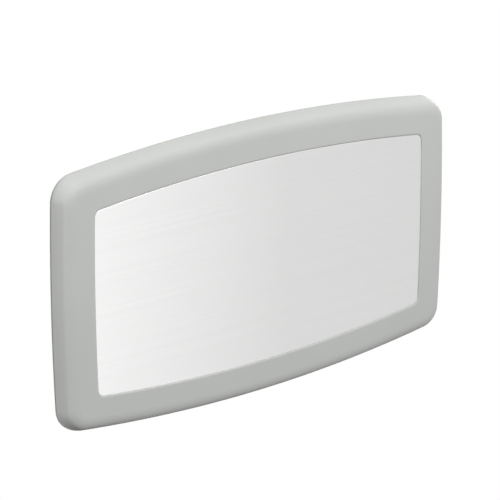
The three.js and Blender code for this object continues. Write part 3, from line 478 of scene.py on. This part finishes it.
def screw_head(name, place, normal, body):
    """A domed screw head with a hexagon socket."""
    axis = Vector(normal).normalized()
    side = axis.orthogonal().normalized()
    other = axis.cross(side)
    n = SCREW_SIDES
    vertices, faces = [], []
    for share, height in SCREW_PROFILE:
        for i in range(n):
            a = 2 * math.pi * i / n
            reach = SCREW_RADIUS * share * (hexagon(a) if share < SOCKET_SHARE else 1.0)
            p = Vector(place) + (side * math.cos(a) + other * math.sin(a)) * reach * MM + axis * height * MM
            vertices.append(tuple(p))
    last = len(SCREW_PROFILE) - 1
    for k in range(last):
        for i in range(n):
            j = (i + 1) % n
            faces.append((k * n + i, (k + 1) * n + i, (k + 1) * n + j, k * n + j))
    faces.append(tuple(last * n + i for i in range(n))[::-1])
    dress(make_mesh(name, vertices, faces, 35), "bright_steel", body)


# Screw places in metres, from the edges of the pieces they hold
FOOT_THICK, BRACKET_THICK = 0.003, 0.0025
HOOK_SCREW_UP, BRACKET_SCREW_IN, CRANK_SCREW_IN = 0.008, 0.0045, 0.007
CRANK_SCREW_Z = (-0.186, -0.160)
BACKWARD, FORWARD = (0, 1, 0), (0, -1, 0)


def small_fasteners():
    """Screws of the bag hooks, the gas spring's bracket and the crank's foot."""
    for side in ("left", "right"):
        low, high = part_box("bag_hook_" + side)
        place = ((low[0] + high[0]) / 2, low[1] + FOOT_THICK, low[2] + HOOK_SCREW_UP)
        screw_head("hook_screw_" + side, place, BACKWARD, "bed")
    low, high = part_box("gas_spring_bracket")
    for n, z in enumerate((low[2] + BRACKET_SCREW_IN, high[2] - BRACKET_SCREW_IN)):
        place = ((low[0] + high[0]) / 2, high[1] - BRACKET_THICK, z)
        screw_head(f"bracket_screw_{n + 1}", place, FORWARD, "wall_unit")
    low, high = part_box("hinge_crank")
    for n, z in enumerate(CRANK_SCREW_Z):
        place = (low[0] + CRANK_SCREW_IN, low[1] + FOOT_THICK, z)
        screw_head(f"crank_screw_{n + 1}", place, BACKWARD, "bed")


def backdrop_white(tree, shader, white_kind, output):
    """White to the camera and in reflections, the plain shader to all other light."""
    path = tree.nodes.new("ShaderNodeLightPath")
    seen = path.outputs["Is Camera Ray"]
    for ray in ("Is Glossy Ray", "Is Transmission Ray"):
        either = tree.nodes.new("ShaderNodeMath")
        either.operation = "MAXIMUM"
        tree.links.new(seen, either.inputs[0])
        tree.links.new(path.outputs[ray], either.inputs[1])
        seen = either.outputs[0]
    white = tree.nodes.new(white_kind)
    white.inputs["Color"].default_value = (1, 1, 1, 1)
    white.inputs["Strength"].default_value = 1.0
    mix = tree.nodes.new("ShaderNodeMixShader")
    tree.links.new(seen, mix.inputs[0])
    tree.links.new(shader.outputs[0], mix.inputs[1])
    tree.links.new(white.outputs[0], mix.inputs[2])
    tree.links.new(mix.outputs[0], output.inputs["Surface"])


# Stage, in metres: the floor, the light level from straight down (0) to straight up (1), and the lamps
FLOOR_Z, FLOOR_REACH, FLOOR_BOUNCE = -0.95, 6.0, 0.04
SKY = ((0.45, grey(0.02)), (0.55, grey(0.06)), (1.0, grey(1.0)))
LAMPS = (
    dict(name="key", place=(0.2, -2.95, 1.5), size=1.8, power=90),
    dict(name="left_fill", place=(-3.0, 0.5, 0.7), size=1.8, power=43),
    dict(name="right_fill", place=(3.0, 0.9, 0.7), size=1.8, power=26),
    dict(name="back_fill", place=(0.6, 3.2, 0.9), size=2.2, power=46),
)


def floor():
    """Plain floor, white to the camera."""
    look = Look("pale_floor")
    look.set(Base_Color=(*grey(FLOOR_BOUNCE), 1), Roughness=0.9)
    backdrop_white(look.tree, look.bsdf, "ShaderNodeEmission", look.tree.nodes["Material Output"])
    corners = [(x * FLOOR_REACH, y * FLOOR_REACH, FLOOR_Z) for x, y in ((-1, -1), (1, -1), (1, 1), (-1, 1))]
    plane = make_mesh("floor", corners, [(0, 1, 2, 3)])
    plane.data.materials.append(look.mat)


def world_light():
    """Soft studio light that falls off from ceiling to floor."""
    world = bpy.data.worlds.new("studio")
    bpy.context.scene.world = world
    world.use_nodes = True
    tree = world.node_tree
    background = tree.nodes["Background"]
    coords = tree.nodes.new("ShaderNodeTexCoord")
    split = tree.nodes.new("ShaderNodeSeparateXYZ")
    tree.links.new(coords.outputs["Generated"], split.inputs[0])
    height = tree.nodes.new("ShaderNodeMapRange")
    height.inputs["From Min"].default_value = -1.0
    tree.links.new(split.outputs["Z"], height.inputs["Value"])
    ramp = tree.nodes.new("ShaderNodeValToRGB")
    set_stops(ramp, SKY)
    tree.links.new(height.outputs[0], ramp.inputs["Fac"])
    tree.links.new(ramp.outputs["Color"], background.inputs["Color"])
    background.inputs["Strength"].default_value = 1.0
    backdrop_white(tree, background, "ShaderNodeBackground", tree.nodes["World Output"])


def area_light(name, place, size, power):
    """A round softbox aimed at the middle of the part."""
    data = bpy.data.lights.new(name, "AREA")
    data.shape = "DISK"
    data.size = size
    data.energy = power
    obj = bpy.data.objects.new(name, data)
    obj.location = place
    obj.rotation_euler = (-Vector(place)).to_track_quat("-Z", "Y").to_euler()
    bpy.context.scene.collection.objects.link(obj)


# Camera: where it stands, seen from the middle of the bed, and where it looks
BED_MIDDLE = Vector((0, -0.0843, 0))
STAND_AZIMUTH, STAND_ELEVATION, STAND_DISTANCE = math.radians(-40.489), math.radians(18.238), 4.358
LOOK_AZIMUTH, LOOK_DOWN = math.radians(-40.225), math.radians(18.054)
LENS, SENSOR_WIDTH = 175.7808, 36.0


def camera():
    """The viewpoint: from the left, a little above."""
    level = math.cos(STAND_ELEVATION)
    towards = Vector((math.sin(STAND_AZIMUTH) * level, -math.cos(STAND_AZIMUTH) * level,
                      math.sin(STAND_ELEVATION)))
    data = bpy.data.cameras.new("camera")
    data.lens = LENS
    data.sensor_width = SENSOR_WIDTH
    data.clip_end = 50.0
    obj = bpy.data.objects.new("camera", data)
    obj.location = BED_MIDDLE + towards * STAND_DISTANCE
    obj.rotation_euler = (math.pi / 2 - LOOK_DOWN, 0, LOOK_AZIMUTH)
    bpy.context.scene.collection.objects.link(obj)
    bpy.context.scene.camera = obj


bed_shell()
front_panel()
bed_tray()
straps()
small_fasteners()
floor()
world_light()
for lamp in LAMPS:
    area_light(**lamp)
camera()
bpy.context.scene.view_settings.view_transform = "Standard"
